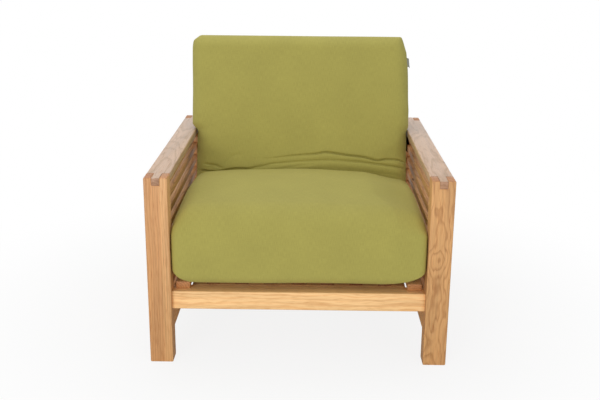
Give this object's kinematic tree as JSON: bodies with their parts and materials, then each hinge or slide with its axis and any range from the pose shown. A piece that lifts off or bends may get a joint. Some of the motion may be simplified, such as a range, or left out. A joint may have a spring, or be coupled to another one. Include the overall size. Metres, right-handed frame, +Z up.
{
  "type": "chair bed",
  "caption": "Slatted wooden armchair with a folded futon; the slatted deck slides out, the back lowers flat and the futon unfolds into a single bed.",
  "frame": {"origin": "centre of the footprint on the floor, under the four posts", "axes": "+Z up, -Y out of the front where a person sits down, +X to the right of someone who looks at the chair from the front"},
  "size_m": [0.88, 0.912, 0.8868],
  "materials": {
    "oak": "clear matt lacquer",
    "steel": "zinc plated",
    "knob": "moulded",
    "cotton_cover": "olive green cotton drill",
    "tag_tape": "plain woven tape"
  },
  "bodies": {
    "frame": {"front_post_left": "oak", "front_post_right": "oak", "rear_post_left": "oak", "rear_post_right": "oak", "arm_left": "oak", "arm_right": "oak", "lower_rail_left": "oak", "lower_rail_right": "oak", "side_slats_left": "oak", "side_slats_right": "oak", "apron": "oak", "rear_rail": "oak", "ledger_left": "oak", "ledger_right": "oak", "joist_left": "oak", "joist_right": "oak", "bearer_lip": "oak", "bearer_front": "oak", "bearer_rear": "oak", "fixed_slats": "oak", "fixed_slat_screws": "steel", "frame_bolts": "steel", "barrel_nuts": "steel", "base_dowels": "oak", "quadrant_left": "steel", "quadrant_right": "steel", "quadrant_screws": "steel", "futon_lower": "cotton_cover"},
    "deck": {"runner_left": "oak", "runner_right": "oak", "deck_slats": "oak", "deck_batten": "oak", "deck_screws": "steel", "deck_stop_left": "oak", "deck_stop_right": "oak", "deck_leg_bolts": "steel"},
    "deck_leg_l": {"deck_leg_left": "oak"},
    "deck_leg_r": {"deck_leg_right": "oak"},
    "back": {"back_stile_left": "oak", "back_stile_right": "oak", "back_slats": "oak", "back_rail_lower": "oak", "back_rail_middle": "oak", "back_rail_upper": "oak", "back_screws": "steel", "pivot_bolts": "steel", "pivot_spacers": "steel", "clamp_bolts": "steel", "clamp_spacers": "steel", "clamp_knobs": "knob", "back_leg_bolts": "steel", "futon_back": "cotton_cover", "side_tag": "tag_tape"},
    "back_leg_l": {"back_leg_left": "oak"},
    "back_leg_r": {"back_leg_right": "oak"},
    "futon_top": {"futon_upper": "cotton_cover"}
  },
  "joints": [
    {"name": "deck_slide", "type": "slide", "parent": "frame", "child": "deck", "axis": [0, -1, 0], "range_m": [0, 0.549]},
    {"name": "deck_leg_fold_left", "type": "hinge", "parent": "deck", "child": "deck_leg_l", "pos_m": [-0.29925, -0.2857, 0.2328], "axis": [-1, 0, 0], "range_deg": [0, 90]},
    {"name": "deck_leg_fold_right", "type": "hinge", "parent": "deck", "child": "deck_leg_r", "pos_m": [0.29925, -0.2857, 0.2328], "axis": [-1, 0, 0], "range_deg": [0, 90]},
    {"name": "back_recline", "type": "hinge", "parent": "frame", "child": "back", "pos_m": [0, 0.212, 0.2328], "axis": [-1, 0, 0], "range_deg": [0, 72]},
    {"name": "back_leg_fold_left", "type": "hinge", "parent": "back", "child": "back_leg_l", "pos_m": [-0.29925, 0.39277, 0.78917], "axis": [1, 0, 0], "range_deg": [0, 90]},
    {"name": "back_leg_fold_right", "type": "hinge", "parent": "back", "child": "back_leg_r", "pos_m": [0.29925, 0.39277, 0.78917], "axis": [1, 0, 0], "range_deg": [0, 90]},
    {"name": "futon_unfold", "type": "hinge", "parent": "frame", "child": "futon_top", "pos_m": [0, -0.453, 0.3646], "axis": [1, 0, 0], "range_deg": [0, 180]}
  ]
}
